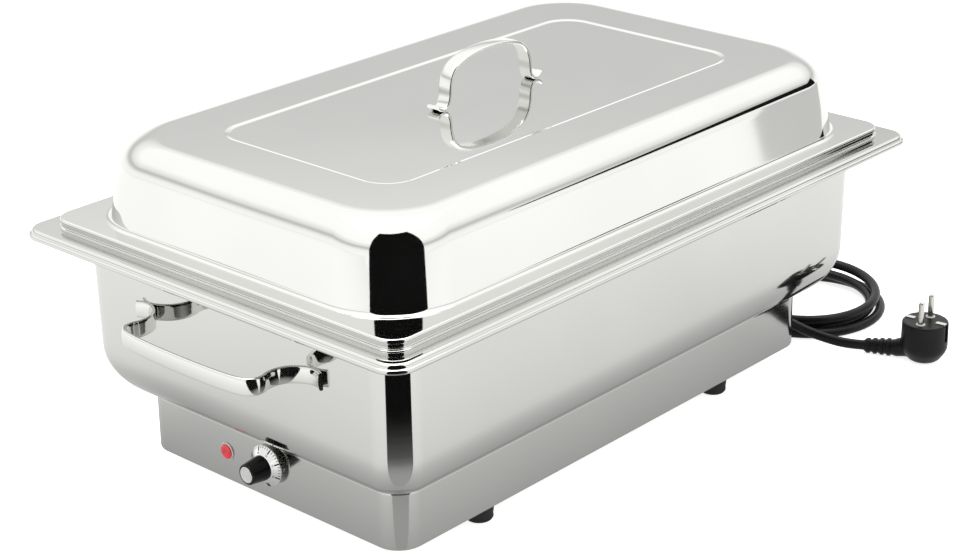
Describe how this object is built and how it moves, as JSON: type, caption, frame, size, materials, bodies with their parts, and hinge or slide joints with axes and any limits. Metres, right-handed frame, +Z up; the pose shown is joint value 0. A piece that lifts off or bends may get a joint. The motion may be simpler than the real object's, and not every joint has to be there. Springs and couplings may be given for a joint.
{
  "type": "electric buffet server",
  "caption": "Electric chafing dish for one GN 1/1 food pan: domed lid, drawn water basin with end handles, heated base with thermostat knob, pilot lamp and mains cord.",
  "frame": {"origin": "on the table under the middle of the body, feet at z = 0", "axes": "+X along the length from the control end to the cord end, +Z up"},
  "size_m": [0.699, 0.4054, 0.2901],
  "materials": {
    "polished_steel": "mirror-polished stainless steel sheet",
    "handle_steel": "polished stainless steel strip",
    "pan_steel": "satin stainless steel, bright rolled",
    "satin_steel": "fine satin-polished stainless steel",
    "plain_steel": "plain mill-finish steel sheet",
    "zinc_fastener": "zinc-plated steel",
    "foot_rubber": "matte black moulded rubber",
    "heater_sheath": "dull annealed steel tube",
    "ceramic": "unglazed white ceramic",
    "mineral_fibre": "soft mineral-fibre felt",
    "beige_plastic": "moulded heat-proof resin",
    "shaft_steel": "turned steel",
    "copper": "bare copper tube",
    "dial_metal": "spun aluminium with black graduation",
    "knob_black": "satin black moulded plastic",
    "lamp_bezel": "pale chromed plastic ring",
    "lamp_red": "translucent red plastic lens",
    "brass": "turned brass",
    "wire_insulation": "silicone wire insulation",
    "gland_black": "black moulded nylon",
    "cord_black": "black rubber cord sheath",
    "plug_black": "black moulded thermoplastic",
    "pin_nickel": "nickel-plated brass"
  },
  "bodies": {
    "body": {"base_housing": "satin_steel", "bottom_plate": "plain_steel", "bulb_clips": "plain_steel", "cable_gland": "gland_black", "capillary_tube": "copper", "carry_handle_control_end": "handle_steel", "carry_handle_cord_end": "handle_steel", "cutout_bracket": "plain_steel", "earth_nuts": "brass", "earth_stud": "brass", "foot_1": "foot_rubber", "foot_2": "foot_rubber", "foot_3": "foot_rubber", "foot_4": "foot_rubber", "foot_nuts": "zinc_fastener", "foot_screws": "zinc_fastener", "gland_cord_stub": "cord_black", "gland_locknut": "gland_black", "heat_shield": "plain_steel", "heater_clamps": "plain_steel", "heater_terminals": "ceramic", "heating_element": "heater_sheath", "housing_brackets": "plain_steel", "insulation_pad": "mineral_fibre", "internal_wires": "wire_insulation", "pilot_lamp_bezel": "lamp_bezel", "pilot_lamp_body": "beige_plastic", "pilot_lamp_lens": "lamp_red", "plate_screws": "zinc_fastener", "plug_body": "plug_black", "plug_earth_contacts": "pin_nickel", "plug_pins": "pin_nickel", "plug_strain_relief": "cord_black", "power_cord_coil": "cord_black", "power_cord_lead": "cord_black", "power_cord_tail": "cord_black", "stud_nuts": "zinc_fastener", "terminal_block": "beige_plastic", "terminal_screws": "zinc_fastener", "thermal_cutout": "beige_plastic", "thermostat_body": "beige_plastic", "thermostat_bulb": "copper", "thermostat_screws": "zinc_fastener", "water_basin": "satin_steel", "weld_studs": "zinc_fastener"},
    "food_pan": {"food_pan": "pan_steel"},
    "lid": {"lid_shell": "polished_steel", "lid_handle": "handle_steel"},
    "knob": {"thermostat_shaft": "shaft_steel", "dial_skirt": "dial_metal", "knob_body": "knob_black", "knob_cap": "dial_metal"}
  },
  "joints": [
    {"name": "pan_lift", "type": "slide", "parent": "body", "child": "food_pan", "axis": [0, 0, 1], "range_m": [0, 0.1]},
    {"name": "lid_lift", "type": "slide", "parent": "food_pan", "child": "lid", "axis": [0, 0, 1], "range_m": [0, 0.15]},
    {"name": "knob_turn", "type": "hinge", "parent": "body", "child": "knob", "pos_m": [-0.23, -0.0035, 0.043], "axis": [1, 0, 0], "range_deg": [0, 280]}
  ]
}
